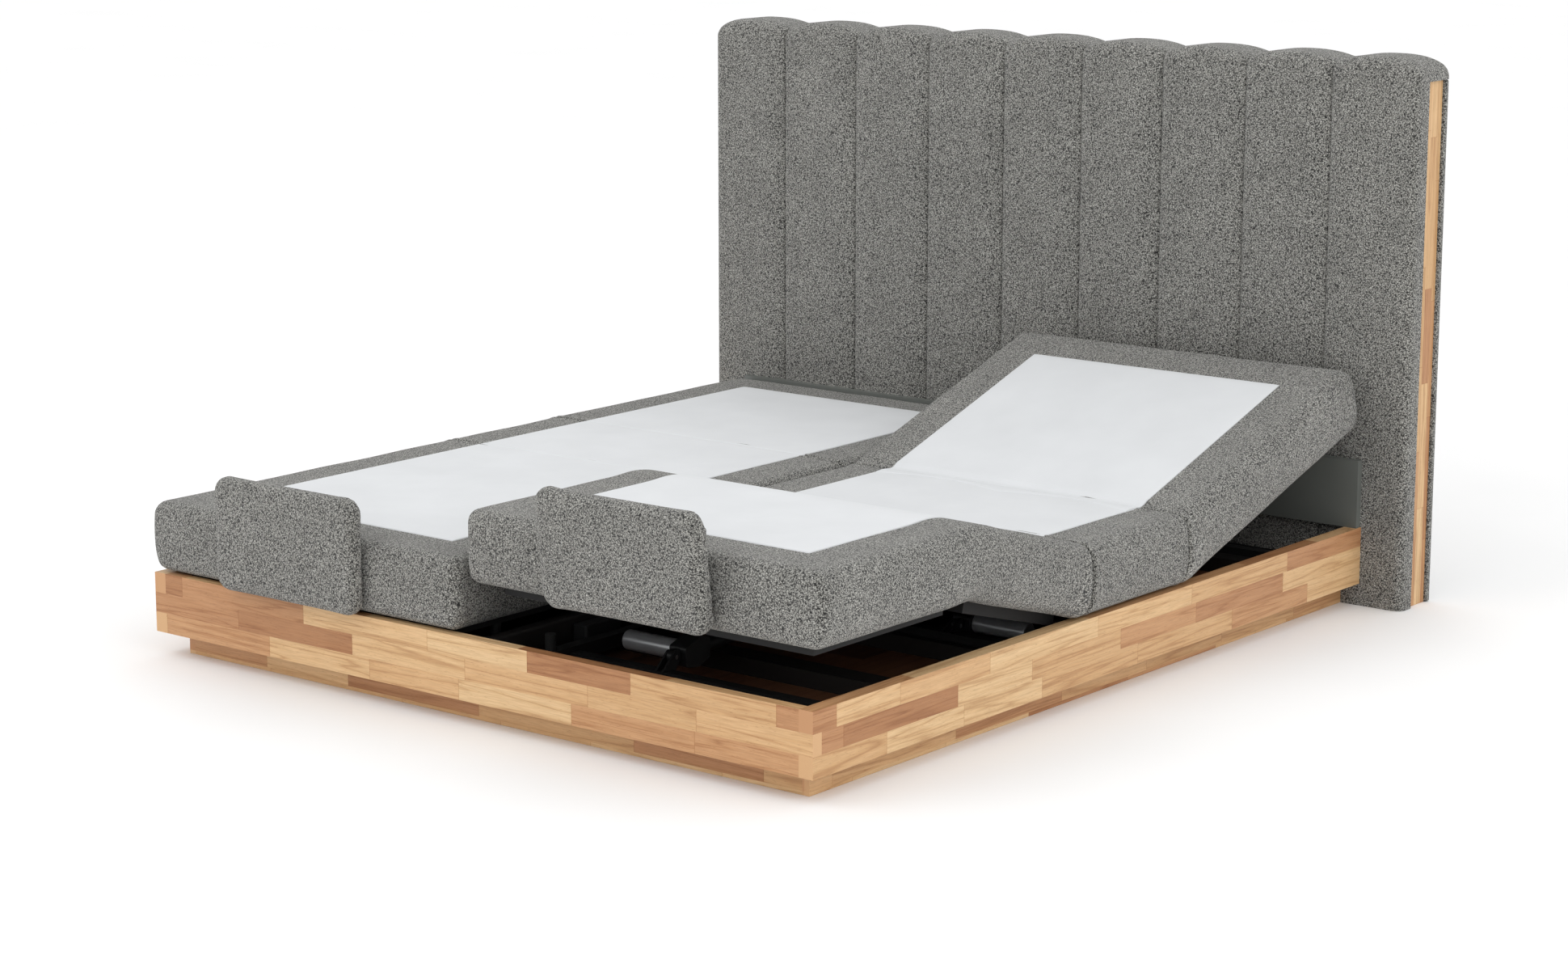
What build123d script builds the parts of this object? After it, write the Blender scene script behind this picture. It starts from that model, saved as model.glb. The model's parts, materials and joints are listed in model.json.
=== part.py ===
"""Adjustable double bed base: a solid wood bed frame with an upholstered headboard and two
independent upholstered motor boxes, each with a folding back, a fixed seat, a thigh and a leg section.

Lengths in millimetres, +Z up, +X to the right, +Y from the foot to the head.
The origin is on the floor under the middle of the whole object's footprint.
"Flat" coordinates (y from the frame's foot face, z from the floor) draw every section as it lies flat;
the section's plane then turns the drawing to the position that the bed stands in.
"""
from build123d import *
from math import atan2, cos, degrees, hypot, radians, sin, tan
import os

os.makedirs("parts", exist_ok=True)

# ---- bed frame ----
plinth_height = 54.0
plinth_thickness = 18.0
plinth_side_inset = 50.0
plinth_foot_inset = 53.0
rail_height = 138.0
side_rail_thickness = 35.0
foot_rail_thickness = 28.0
finger_tiers = 3
board_thickness = 12.0
board_joint = 4.0
cross_beam_count = 6
cross_beam_width = 65.0
cross_beam_height = 38.0
first_beam_y = 136.0
last_beam_gap = 103.0  # to the headboard
beam_fit = 0.5  # beams and boards to the rails
centre_beam_width = 36.0
centre_beam_height = 66.0
head_bar_thickness = 6.0
bracket_leg = 60.0
bracket_thickness = 3.0
bracket_height = 60.0
bracket_bolt_share = 0.6  # of the leg
bracket_bolt_steps = (0.3, 0.75)  # of the height
beam_edge_radius = 5.0

# ---- headboard ----
headboard_overhang = 113.5  # past each side rail
headboard_height = 1312.0
front_pad = 48.0
core_depth = 80.0
rear_pad = 26.0
top_pad = 53.0
strip_thickness = 20.0
strip_recess = 10.0
pad_radius = 22.0
bolt_radius = 4.0
bolt_hole_fit = 0.2
bolt_bite = 40.0  # into the headboard's core
bolt_head_radius = 7.0
bolt_head_height = 5.0
head_plate_thickness = 22.0
head_plate_height = 164.0
head_plate_inset = 3.0

# ---- motor boxes ----
box_width = 950.0
box_gap = 10.0
box_height = 161.0
box_lift = 4.0  # shadow gap over the rails
box_foot_inset = 2.0
box_edge_radius = 18.0
box_end_radius = 25.0
knee_y = 545.0
hip_y = 950.0
back_y = 1330.0
box_end_y = 2085.0
box_overhang = 5.0  # boxes past the side rails
box_head_gap = 39.0  # boxes to the headboard
box_low_radius = 15.0
top_thickness = 12.0
top_rim = 125.0
hinge_drop = 12.0  # hinge axes below the deck
max_back = 55.0
max_thigh = 35.0

# ---- section frames and hinges ----
tube = 25.0
frame_side_inset = 75.0  # tube line in from the box side
frame_end_inset = 60.0
hinge_half = 300.0
leaf = 2.5
leaf_clear = 0.6
leaf_box_clear = 0.4
knuckle_radius = 7.0
knuckle_fit = 0.5
groove_clear = 1.5
pin_radius = 3.0
pin_fit = 0.05
moving_leaf_width = 40.0
fixed_leaf_width = 30.0

# ---- base frame under the boxes ----
base_tube = 30.0
base_foot_y = 60.0
base_head_gap = 84.0  # to the headboard
rung_height = 18.0
back_rung_after = 150.0  # from the back's hinge
buffer_radius = 12.0
buffer_clear = 0.3
buffer_places = (200.0, 700.0, 1600.0, 1950.0)

# ---- drives ----
leg_drive_offset = -135.0
back_drive_offset = 135.0
leg_pivot_place = (290.0, 25.0)  # rear pivots: from the foot face, below the section frames
back_pivot_place = (935.0, 41.0)
leg_lever_place = (-50.0, 16.0)  # lever pins: from their hinge axes, below the section frames
back_lever_place = (-75.0, 31.0)
lever_drop = 6.0  # top of the arm below the frame
lever_depth = 15.0
drive_tube_radius = 17.0
rod_radius = 10.0
rod_fit = 0.4
gearbox_width = 46.0
gearbox_length = 96.0
gearbox_radius = 7.0
gearbox_neck = 4.0  # past the lug
gearbox_belly = (0.6, 34.0)  # share of the length, depth under the axis
gearbox_crown = (0.75, 32.0)  # share of the length, height over the axis
gearbox_rear = (-26.0, 16.0)
gearbox_front = (-20.0, 22.0)
motor_radius = 22.0
motor_length = 140.0
motor_along = 45.0
lug_radius = 13.0
lug_width = 12.0
lug_side_clear = 1.0
lug_end_clear = 2.0
cheek = 5.0
drive_pin_radius = 5.0
tongue_width = 8.0
lever_gap = 24.0
lever_pin_clear = 1.0
leg_tube_length = 380.0
leg_rod_length = 400.0
back_tube_length = 280.0
back_rod_length = 285.0
control_box_size = (40.0, 115.0, 54.0)
control_box_y = 334.0
control_box_clear = 4.0
control_box_radius = 6.0
control_box_edge = 4.0

# ---- mattress stops ----
stop_width = 456.0
stop_height = 272.0
stop_thickness = 33.0
stop_drop = 8.0  # pad below the box
stop_radius = 14.0
stop_corner = 40.0
stop_offset = 5.0
stop_standoff = 10.0
stop_bar_width = 30.0
stop_bar_thickness = 4.0
stop_bar_half = 120.0
stop_bar_foot_rise = 19.0  # over the box bottom
stop_bar_bend_rise = 94.0
stop_bar_reach = 200.0
stop_bar_rise = 30.0  # up the pad from its bend

# ---- how each side stands ----
stance = {
    "left": {"back": 0.0, "thigh": 0.0, "lean": 0.0},
    "right": {"back": 18.1, "thigh": 15.5, "lean": 7.0},
}
side_sign = {"left": -1, "right": 1}

# ---- derived places ----
frame_width = 2 * (box_width - box_overhang) + box_gap
frame_length = box_end_y + box_head_gap  # foot face to headboard
headboard_width = frame_width + 2 * headboard_overhang
top_width = box_width - 2 * top_rim
frame_half = box_width / 2 - frame_side_inset
rail_top = plinth_height + rail_height
box_bottom = rail_top + box_lift
deck = box_bottom + box_height
axis_z = deck - hinge_drop
frame_bottom = box_bottom - tube
leg_pivot = (leg_pivot_place[0], frame_bottom - leg_pivot_place[1])
back_pivot = (back_pivot_place[0], frame_bottom - back_pivot_place[1])
leg_lever = (leg_lever_place[0], frame_bottom - leg_lever_place[1] - axis_z)
back_lever = (back_lever_place[0], frame_bottom - back_lever_place[1] - axis_z)
stop_bottom = box_bottom - stop_drop
stop_bar_foot = box_bottom + stop_bar_foot_rise
stop_bar_bend = box_bottom + stop_bar_bend_rise
board_top = plinth_height + board_thickness
beam_top = board_top + cross_beam_height
base_top = beam_top + base_tube
side_x = (box_width + box_gap) / 2
thigh_length = hip_y - knee_y
leaf_outer = leaf_clear + leaf
box_start = leaf_outer + leaf_box_clear
knee_slope = tan(radians(max_thigh / 2 + 0.5))
groove_radius = knuckle_radius + groove_clear
headboard_depth = front_pad + core_depth + rear_pad
inner_half = frame_width / 2 - side_rail_thickness


def leg_shift(side):
    """How far the leg section, which stays level, is carried by its raised thigh."""
    lift = radians(stance[side]["thigh"])
    return thigh_length * (1 - cos(lift)), thigh_length * sin(lift)


def stop_reach(side):
    """How far a mattress stop stands out in front of the frame's foot face."""
    lean = radians(stance[side]["lean"])
    corner = (stop_thickness - stop_radius) * cos(lean) + (stop_height - stop_radius) * sin(lean)
    return stop_standoff - box_foot_inset - leg_shift(side)[0] + corner + stop_radius


rear_reach = frame_length + headboard_depth
foot_y = (max(stop_reach("left"), stop_reach("right")) - rear_reach) / 2


def save(piece, name):
    piece.part.label = name
    export_step(piece.part, f"parts/{name}.step")


def world(y):
    """The part's own y of a place measured from the frame's foot face."""
    return foot_y + y


def turned(x, pivot, lift, shift=(0.0, 0.0)):
    """Side-view plane in flat coordinates, turned up by lift about pivot and then carried by shift."""
    c, s = cos(radians(lift)), sin(radians(lift))
    y = pivot[0] + shift[0] - (pivot[0] * c - pivot[1] * s)
    z = pivot[1] + shift[1] - (pivot[0] * s + pivot[1] * c)
    return Plane(origin=(x, world(y), z), x_dir=(0, c, s), z_dir=(1, 0, 0))


def centre_x(side):
    return side_sign[side] * side_x


def base_plane(side):
    return turned(centre_x(side), (0, 0), 0)


def back_plane(side):
    return turned(centre_x(side), (back_y, axis_z), stance[side]["back"])


def thigh_plane(side):
    return turned(centre_x(side), (hip_y, axis_z), -stance[side]["thigh"])


def leg_plane(side):
    return turned(centre_x(side), (0, 0), 0, leg_shift(side))


def block(plane, y, z, width, offset=0.0):
    """A straight block drawn in side view, width across the bed, about the plane moved by offset."""
    with BuildSketch(plane.offset(offset)) as side_view:
        with Locations(((y[0] + y[1]) / 2, (z[0] + z[1]) / 2)):
            Rectangle(y[1] - y[0], z[1] - z[0])
    extrude(side_view.sketch, amount=width / 2, both=True)


def board(low, high):
    """A board or bar between two corners in the part's own frame."""
    middle = [(a + b) / 2 for a, b in zip(low, high)]
    with BuildSketch(Plane.XY.offset(low[2])) as plan:
        with Locations((middle[0], middle[1])):
            Rectangle(high[0] - low[0], high[1] - low[1])
    extrude(plan.sketch, amount=high[2] - low[2])


# ================= bed frame =================
def side_rail(side):
    """Rail on its long edge; the middle finger of the foot rail passes through its foot end."""
    sign = side_sign[side]
    tier = rail_height / finger_tiers
    outer, inner = sign * frame_width / 2, sign * inner_half
    low, high = min(outer, inner), max(outer, inner)
    with BuildPart() as rail:
        for level in range(finger_tiers):
            start = foot_rail_thickness if level % 2 else 0.0
            bottom = plinth_height + level * tier
            board((low, world(start), bottom), (high, world(frame_length), bottom + tier))
    save(rail, f"side_rail_{side}")


def foot_rail():
    tier = rail_height / finger_tiers
    with BuildPart() as rail:
        for level in range(finger_tiers):
            half = frame_width / 2 if level % 2 else inner_half
            bottom = plinth_height + level * tier
            board((-half, world(0), bottom), (half, world(foot_rail_thickness), bottom + tier))
    save(rail, "foot_rail")


def plinth():
    outer = frame_width / 2 - plinth_side_inset
    inner = outer - plinth_thickness
    middle = plinth_thickness / 2
    foot, head = plinth_foot_inset, frame_length
    with BuildPart() as sides:
        for low, high in ((-outer, -inner), (-middle, middle), (inner, outer)):
            start = foot + (plinth_thickness if low == -middle else 0)
            end = head - (plinth_thickness if low == -middle else 0)
            board((low, world(start), 0), (high, world(end), plinth_height))
    save(sides, "plinth_sides")
    with BuildPart() as ends:
        for start in (foot, head - plinth_thickness):
            board((-inner, world(start), 0), (inner, world(start + plinth_thickness), plinth_height))
    save(ends, "plinth_ends")


def beam_starts():
    """The cross beams share the length evenly; the last one stands clear of the headboard."""
    last = frame_length - last_beam_gap - cross_beam_width
    pitch = (last - first_beam_y) / (cross_beam_count - 1)
    return [first_beam_y + pitch * number for number in range(cross_beam_count)]


def floor():
    half = inner_half - beam_fit
    joints = [start + cross_beam_width / 2 for start in beam_starts()]
    edges = [foot_rail_thickness + beam_fit - board_joint / 2] + joints
    edges.append(frame_length - head_bar_thickness + board_joint / 2)
    with BuildPart() as boards:
        for start, end in zip(edges[:-1], edges[1:]):
            low, high = start + board_joint / 2, end - board_joint / 2
            board((-half, world(low), plinth_height), (half, world(high), board_top))
    save(boards, "floor_boards")
    with BuildPart() as beams:
        for start in beam_starts():
            board((-half, world(start), board_top), (half, world(start + cross_beam_width), beam_top))
    save(beams, "cross_beams")
    with BuildPart() as centre:
        low, high = foot_rail_thickness + beam_fit, frame_length - head_bar_thickness - beam_fit
        width = centre_beam_width / 2
        board((-width, world(low), beam_top), (width, world(high), beam_top + centre_beam_height))
        fillet(centre.edges().filter_by(Axis.Y), radius=beam_edge_radius)
    save(centre, "centre_beam")


bolt_x = inner_half - bracket_leg * bracket_bolt_share
bolt_levels = tuple(beam_top + bracket_height * step for step in bracket_bolt_steps)


def brackets():
    """Four corner angles and the flat bar that carries the boards at the headboard."""
    with BuildPart() as angles:
        for sign in (-1, 1):
            inner, tip = sign * inner_half, sign * (inner_half - bracket_leg)
            skin = sign * (inner_half - bracket_thickness)
            low, high = min(inner, skin), max(inner, skin)
            left, right = min(inner, tip), max(inner, tip)
            for wall, turn in ((foot_rail_thickness, 1), (frame_length, -1)):
                reach = sorted((wall, wall + turn * bracket_leg))
                flange = sorted((wall, wall + turn * bracket_thickness))
                top = beam_top + bracket_height
                board((low, world(reach[0]), beam_top), (high, world(reach[1]), top))
                board((left, world(flange[0]), beam_top), (right, world(flange[1]), top))
            for level in bolt_levels:
                with BuildSketch(Plane(origin=(sign * bolt_x, world(frame_length), level), z_dir=(0, -1, 0))):
                    Circle(bolt_radius + bolt_hole_fit)
                extrude(amount=bracket_thickness * 2, mode=Mode.SUBTRACT)
        start = frame_length - head_bar_thickness
        half = inner_half - beam_fit
        board((-half, world(start), plinth_height), (half, world(frame_length), beam_top))
    save(angles, "frame_brackets")
    with BuildPart() as bolts:
        for sign in (-1, 1):
            for level in bolt_levels:
                place = (sign * bolt_x, world(frame_length - bracket_thickness), level)
                with BuildSketch(Plane(origin=place, z_dir=(0, -1, 0))):
                    Circle(bolt_head_radius)
                extrude(amount=bolt_head_height)
                with BuildSketch(Plane(origin=place, z_dir=(0, 1, 0))):
                    Circle(bolt_radius)
                extrude(amount=bracket_thickness + front_pad + bolt_bite)
    save(bolts, "headboard_bolts")


def bolt_holes(depth):
    for sign in (-1, 1):
        for level in bolt_levels:
            place = (sign * bolt_x, world(frame_length), level)
            with BuildSketch(Plane(origin=place, z_dir=(0, 1, 0))) as hole:
                Circle(bolt_radius + bolt_hole_fit)
            extrude(hole.sketch, amount=depth, mode=Mode.SUBTRACT)


# ================= headboard =================
def headboard():
    half = headboard_width / 2
    core_half = half - strip_recess - strip_thickness
    core_top = headboard_height - top_pad
    front, core_front = frame_length, frame_length + front_pad
    core_rear, rear = core_front + core_depth, rear_reach
    with BuildPart() as core:
        board((-core_half, world(core_front), 0), (core_half, world(core_rear), core_top))
        bolt_holes(front_pad + bolt_bite + bolt_hole_fit)
    save(core, "headboard_core")
    with BuildPart() as cushion:
        with BuildSketch(turned(0, (0, 0), 0)):
            with BuildLine():
                Polyline(
                    (front, 0),
                    (front, headboard_height),
                    (rear, headboard_height),
                    (rear, core_top),
                    (core_front, core_top),
                    (core_front, 0),
                    close=True,
                )
            make_face()
        extrude(amount=half, both=True)
        top = cushion.edges().filter_by(Axis.X).group_by(Axis.Z)[-1]
        fillet(top, radius=pad_radius)
        bolt_holes(front_pad)
    save(cushion, "headboard_cushion")
    with BuildPart() as back:
        board((-half, world(core_rear), 0), (half, world(rear), core_top))
    save(back, "headboard_rear_pad")
    with BuildPart() as strips:
        for sign in (-1, 1):
            low, high = sorted((sign * core_half, sign * (half - strip_recess)))
            board((low, world(core_front), 0), (high, world(core_rear), core_top))
    save(strips, "headboard_strips")
    with BuildPart() as plate:
        plate_half = frame_width / 2 - head_plate_inset
        start = frame_length - head_plate_thickness
        top = rail_top + head_plate_height
        board((-plate_half, world(start), rail_top), (plate_half, world(frame_length), top))
    save(plate, "head_plate")


# ================= upholstered sections =================
def hinge_groove(plane, axis_y, fold):
    """Round groove about a hinge axis, opening upwards by the fold, across the whole section."""
    reach = groove_radius + (hinge_drop + groove_clear) * tan(radians(fold / 2)) + groove_clear
    with BuildSketch(plane) as groove:
        with Locations((axis_y, axis_z)):
            Circle(groove_radius)
        Polygon(
            (axis_y - groove_radius, axis_z),
            (axis_y + groove_radius, axis_z),
            (axis_y + reach, deck + groove_clear),
            (axis_y - reach, deck + groove_clear),
            align=None,
        )
    extrude(groove.sketch, amount=box_width, both=True, mode=Mode.SUBTRACT)


def slanted(y, slope, z):
    """Where a section's slanted knee face stands at height z; slope is signed, 0 is upright."""
    return y + slope * (axis_z - z)


def section(side, name, plane, start, end, slopes, top, grooves):
    """One upholstered section: the grey box and the white deck let into its top."""
    low = slanted(start, slopes[0], box_bottom), slanted(end, slopes[1], box_bottom)
    high = slanted(start, slopes[0], deck), slanted(end, slopes[1], deck)
    along = Axis((0, 0, 0), plane.x_dir)
    upward = Axis((0, 0, 0), plane.y_dir)
    with BuildPart() as box:
        with BuildSketch(plane):
            Polygon((low[0], box_bottom), (high[0], deck), (high[1], deck), (low[1], box_bottom), align=None)
        extrude(amount=box_width / 2, both=True)
        fillet(box.edges().filter_by(along).group_by(upward)[-1], radius=box_edge_radius)
        if name in ("leg", "back"):
            ends = box.faces().sort_by(along)
            end_face = ends[0] if name == "leg" else ends[-1]
            fillet(end_face.edges().filter_by(Axis.X), radius=box_low_radius)
        with BuildSketch(plane):
            with Locations(((top[0] + top[1]) / 2, deck)):
                Rectangle(top[1] - top[0], 2 * top_thickness)
        extrude(amount=top_width / 2, both=True, mode=Mode.SUBTRACT)
        for axis_y, fold in grooves:
            hinge_groove(plane, axis_y, fold)
    save(box, f"{side}_{name}_box")
    with BuildPart() as cover:
        block(plane, (max(top[0], high[0]), min(top[1], high[1])), (deck - top_thickness, deck), top_width)
        for axis_y, fold in grooves:
            hinge_groove(plane, axis_y, fold)
    save(cover, f"{side}_{name}_top")


def sections(side):
    knee, hip, back = (knee_y, max_thigh), (hip_y, max_thigh), (back_y, max_back)
    beyond = 50.0
    section(
        side, "leg", leg_plane(side), box_foot_inset, knee_y - box_start,
        (0, -knee_slope), (top_rim, knee_y + beyond), [knee],
    )
    section(
        side, "thigh", thigh_plane(side), knee_y + box_start, hip_y - box_start,
        (knee_slope, 0), (knee_y - beyond, hip_y + beyond), [knee, hip],
    )
    section(
        side, "seat", base_plane(side), hip_y + box_start, back_y - box_start,
        (0, 0), (hip_y - beyond, back_y + beyond), [hip, back],
    )
    section(
        side, "back", back_plane(side), back_y + box_start, box_end_y,
        (0, 0), (back_y - beyond, box_end_y - top_rim), [back],
    )


# ================= section frames =================
def hinge_leaves(plane, axis_y, turn, slope, width, offsets):
    """Upright leaves from the frame's tube to their knuckles; turn is the side of the axis they are on."""
    inner, outer = turn * leaf_clear, turn * leaf_outer
    run = slope * (axis_z - frame_bottom)
    for centre in (-hinge_half, hinge_half):
        for offset in offsets:
            with BuildSketch(plane.offset(centre + offset)) as leaf_view:
                Polygon(
                    (axis_y + inner, axis_z),
                    (axis_y + outer, axis_z),
                    (axis_y + outer + run, frame_bottom),
                    (axis_y + inner + run, frame_bottom),
                    align=None,
                )
                with Locations((axis_y, axis_z)):
                    Circle(knuckle_radius)
                    Circle(pin_radius + pin_fit, mode=Mode.SUBTRACT)
            extrude(leaf_view.sketch, amount=width / 2, both=True)


fixed_offset = (moving_leaf_width + fixed_leaf_width) / 2 + knuckle_fit
fixed_offsets = (-fixed_offset, fixed_offset)
moving_offsets = (0.0,)


def ladder(plane, start, end, bottom, size, rungs, depth=0.0):
    """Two long tubes and the cross tubes between them; depth is the cross tubes' own height."""
    for offset in (-frame_half, frame_half):
        block(plane, (start, end), (bottom, bottom + size), size, offset)
    for rung in rungs:
        block(plane, (rung, rung + size), (bottom, bottom + (depth or size)), 2 * frame_half)


def lever(plane, axis_y, pin, offset, turn):
    """Two cheeks that reach down from the hinge-end tube and along to the drive's pin."""
    y, z = axis_y + pin[0], axis_z + pin[1]
    root = axis_y + turn * (leaf_outer + tube / 2)
    arm_top, tube_top = frame_bottom - lever_drop, frame_bottom + tube
    arm_bottom = arm_top - lever_depth
    for side in (-1, 1):
        with BuildSketch(plane.offset(offset + side * (lever_gap + cheek) / 2)) as cheek_view:
            with Locations((y, z)):
                Circle(lug_radius)
            with Locations((root, (arm_top + arm_bottom) / 2)):
                Rectangle(tube, lever_depth)
            make_hull()
            with Locations((root, (tube_top + arm_bottom) / 2)):
                Rectangle(tube, tube_top - arm_bottom)
            with Locations((y, z)):
                Circle(drive_pin_radius, mode=Mode.SUBTRACT)
        extrude(cheek_view.sketch, amount=cheek / 2, both=True)


def back_frame(side):
    plane = back_plane(side)
    start, end = back_y + leaf_outer, box_end_y - frame_end_inset
    middle = (start + end) / 2
    with BuildPart() as frame:
        ladder(plane, start, end, frame_bottom, tube, (start, middle, end - tube))
        hinge_leaves(plane, back_y, 1, 0, moving_leaf_width, moving_offsets)
        lever(plane, back_y, back_lever, back_drive_offset, 1)
    save(frame, f"{side}_back_frame")


knee_run = knee_slope * (axis_z - frame_bottom)


def thigh_frame(side):
    plane = thigh_plane(side)
    start, end = knee_y + leaf_clear + knee_run + 1, hip_y - leaf_outer
    with BuildPart() as frame:
        ladder(plane, start, end, frame_bottom, tube, (start, end - tube))
        hinge_leaves(plane, hip_y, -1, 0, moving_leaf_width, moving_offsets)
        hinge_leaves(plane, knee_y, 1, knee_slope, fixed_leaf_width, fixed_offsets)
        lever(plane, hip_y, leg_lever, leg_drive_offset, -1)
    save(frame, f"{side}_thigh_frame")


def leg_frame(side):
    plane = leg_plane(side)
    start, end = frame_end_inset, knee_y - leaf_clear - knee_run - 1
    with BuildPart() as frame:
        ladder(plane, start, end, frame_bottom, tube, (start, end - tube))
        hinge_leaves(plane, knee_y, -1, -knee_slope, moving_leaf_width, moving_offsets)
    save(frame, f"{side}_leg_frame")


def rung_before(pivot):
    """Start of the cross tube that stands just clear of a drive's rear lug."""
    return pivot[0] - lug_radius - lug_end_clear - base_tube


def pivot_cheeks(plane, pivot, offset):
    """Cheeks on a cross tube that hold a drive's rear pin."""
    root = rung_before(pivot) + base_tube / 2
    gap = lug_width / 2 + lug_side_clear
    for side in (-1, 1):
        with BuildSketch(plane.offset(offset + side * (gap + cheek / 2))) as cheek_view:
            with Locations(pivot):
                Circle(lug_radius)
            with Locations((root, beam_top + rung_height / 2)):
                Rectangle(base_tube, rung_height)
            make_hull()
            with Locations(pivot):
                Circle(drive_pin_radius, mode=Mode.SUBTRACT)
        extrude(cheek_view.sketch, amount=cheek / 2, both=True)


def base_frame(side):
    """Fixed frame on the cross beams: two long tubes, cross tubes, posts and the seat's own ladder."""
    plane = base_plane(side)
    seat_start, seat_end = hip_y + leaf_outer, back_y - leaf_outer
    end = frame_length - base_head_gap
    rungs = [base_foot_y, rung_before(leg_pivot), rung_before(back_pivot)]
    rungs += [back_y + back_rung_after, end - base_tube]
    with BuildPart() as frame:
        ladder(plane, base_foot_y, end, beam_top, base_tube, rungs, rung_height)
        ladder(plane, seat_start, seat_end, frame_bottom, tube, (seat_start, seat_end - tube))
        for offset in (-frame_half, frame_half):
            for start in (seat_start, seat_end - tube):
                block(plane, (start, start + tube), (base_top, frame_bottom), tube, offset)
        hinge_leaves(plane, hip_y, 1, 0, fixed_leaf_width, fixed_offsets)
        hinge_leaves(plane, back_y, -1, 0, fixed_leaf_width, fixed_offsets)
        pivot_cheeks(plane, leg_pivot, leg_drive_offset)
        pivot_cheeks(plane, back_pivot, back_drive_offset)
    save(frame, f"{side}_base_frame")


# ================= pins, buffers and control boxes =================
def cross_pin(plane, place, radius, length, offset):
    with BuildSketch(plane.offset(offset)) as round_view:
        with Locations(place):
            Circle(radius)
    extrude(round_view.sketch, amount=length / 2, both=True)


hinge_pin_length = moving_leaf_width + 2 * (fixed_leaf_width + knuckle_fit)
drive_pin_length = lug_width + 2 * (lug_side_clear + cheek)


def fixed_pins():
    with BuildPart() as pins:
        for side in stance:
            plane = base_plane(side)
            for axis_y in (hip_y, back_y):
                for offset in (-hinge_half, hinge_half):
                    cross_pin(plane, (axis_y, axis_z), pin_radius, hinge_pin_length, offset)
            cross_pin(plane, leg_pivot, drive_pin_radius, drive_pin_length, leg_drive_offset)
            cross_pin(plane, back_pivot, drive_pin_radius, drive_pin_length, back_drive_offset)
    save(pins, "pivot_pins")


def knee_pins(side):
    plane = thigh_plane(side)
    with BuildPart() as pins:
        for offset in (-hinge_half, hinge_half):
            cross_pin(plane, (knee_y, axis_z), pin_radius, hinge_pin_length, offset)
    save(pins, f"{side}_knee_pins")


def buffers():
    with BuildPart() as rests:
        for side in stance:
            for offset in (-frame_half, frame_half):
                for place in buffer_places:
                    origin = (centre_x(side) + offset, world(place), base_top)
                    with BuildSketch(Plane(origin=origin, z_dir=(0, 0, 1))):
                        Circle(buffer_radius)
                    extrude(amount=frame_bottom - base_top - buffer_clear)
    save(rests, "rest_buffers")


def control_boxes():
    width, length, height = control_box_size
    with BuildPart() as boxes:
        for sign in (-1, 1):
            near = sign * (centre_beam_width / 2 + control_box_clear)
            far = near + sign * width
            low, high = min(near, far), max(near, far)
            top = beam_top + height
            board((low, world(control_box_y), beam_top), (high, world(control_box_y + length), top))
        fillet(boxes.edges().filter_by(Axis.Z), radius=control_box_radius)
        fillet(boxes.faces().group_by(Axis.Z)[-1].edges(), radius=control_box_edge)
    save(boxes, "control_boxes")


# ================= drives =================
def drive_line(side, kind):
    """Rear pivot, lever pin and the angle and length between them, as the bed stands."""
    if kind == "leg":
        pivot, axis_y, pin, lift = leg_pivot, hip_y, leg_lever, -stance[side]["thigh"]
    else:
        pivot, axis_y, pin, lift = back_pivot, back_y, back_lever, stance[side]["back"]
    c, s = cos(radians(lift)), sin(radians(lift))
    y = axis_y + pin[0] * c - pin[1] * s - pivot[0]
    z = axis_z + pin[0] * s + pin[1] * c - pivot[1]
    return pivot, degrees(atan2(z, y)), hypot(y, z)


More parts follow.
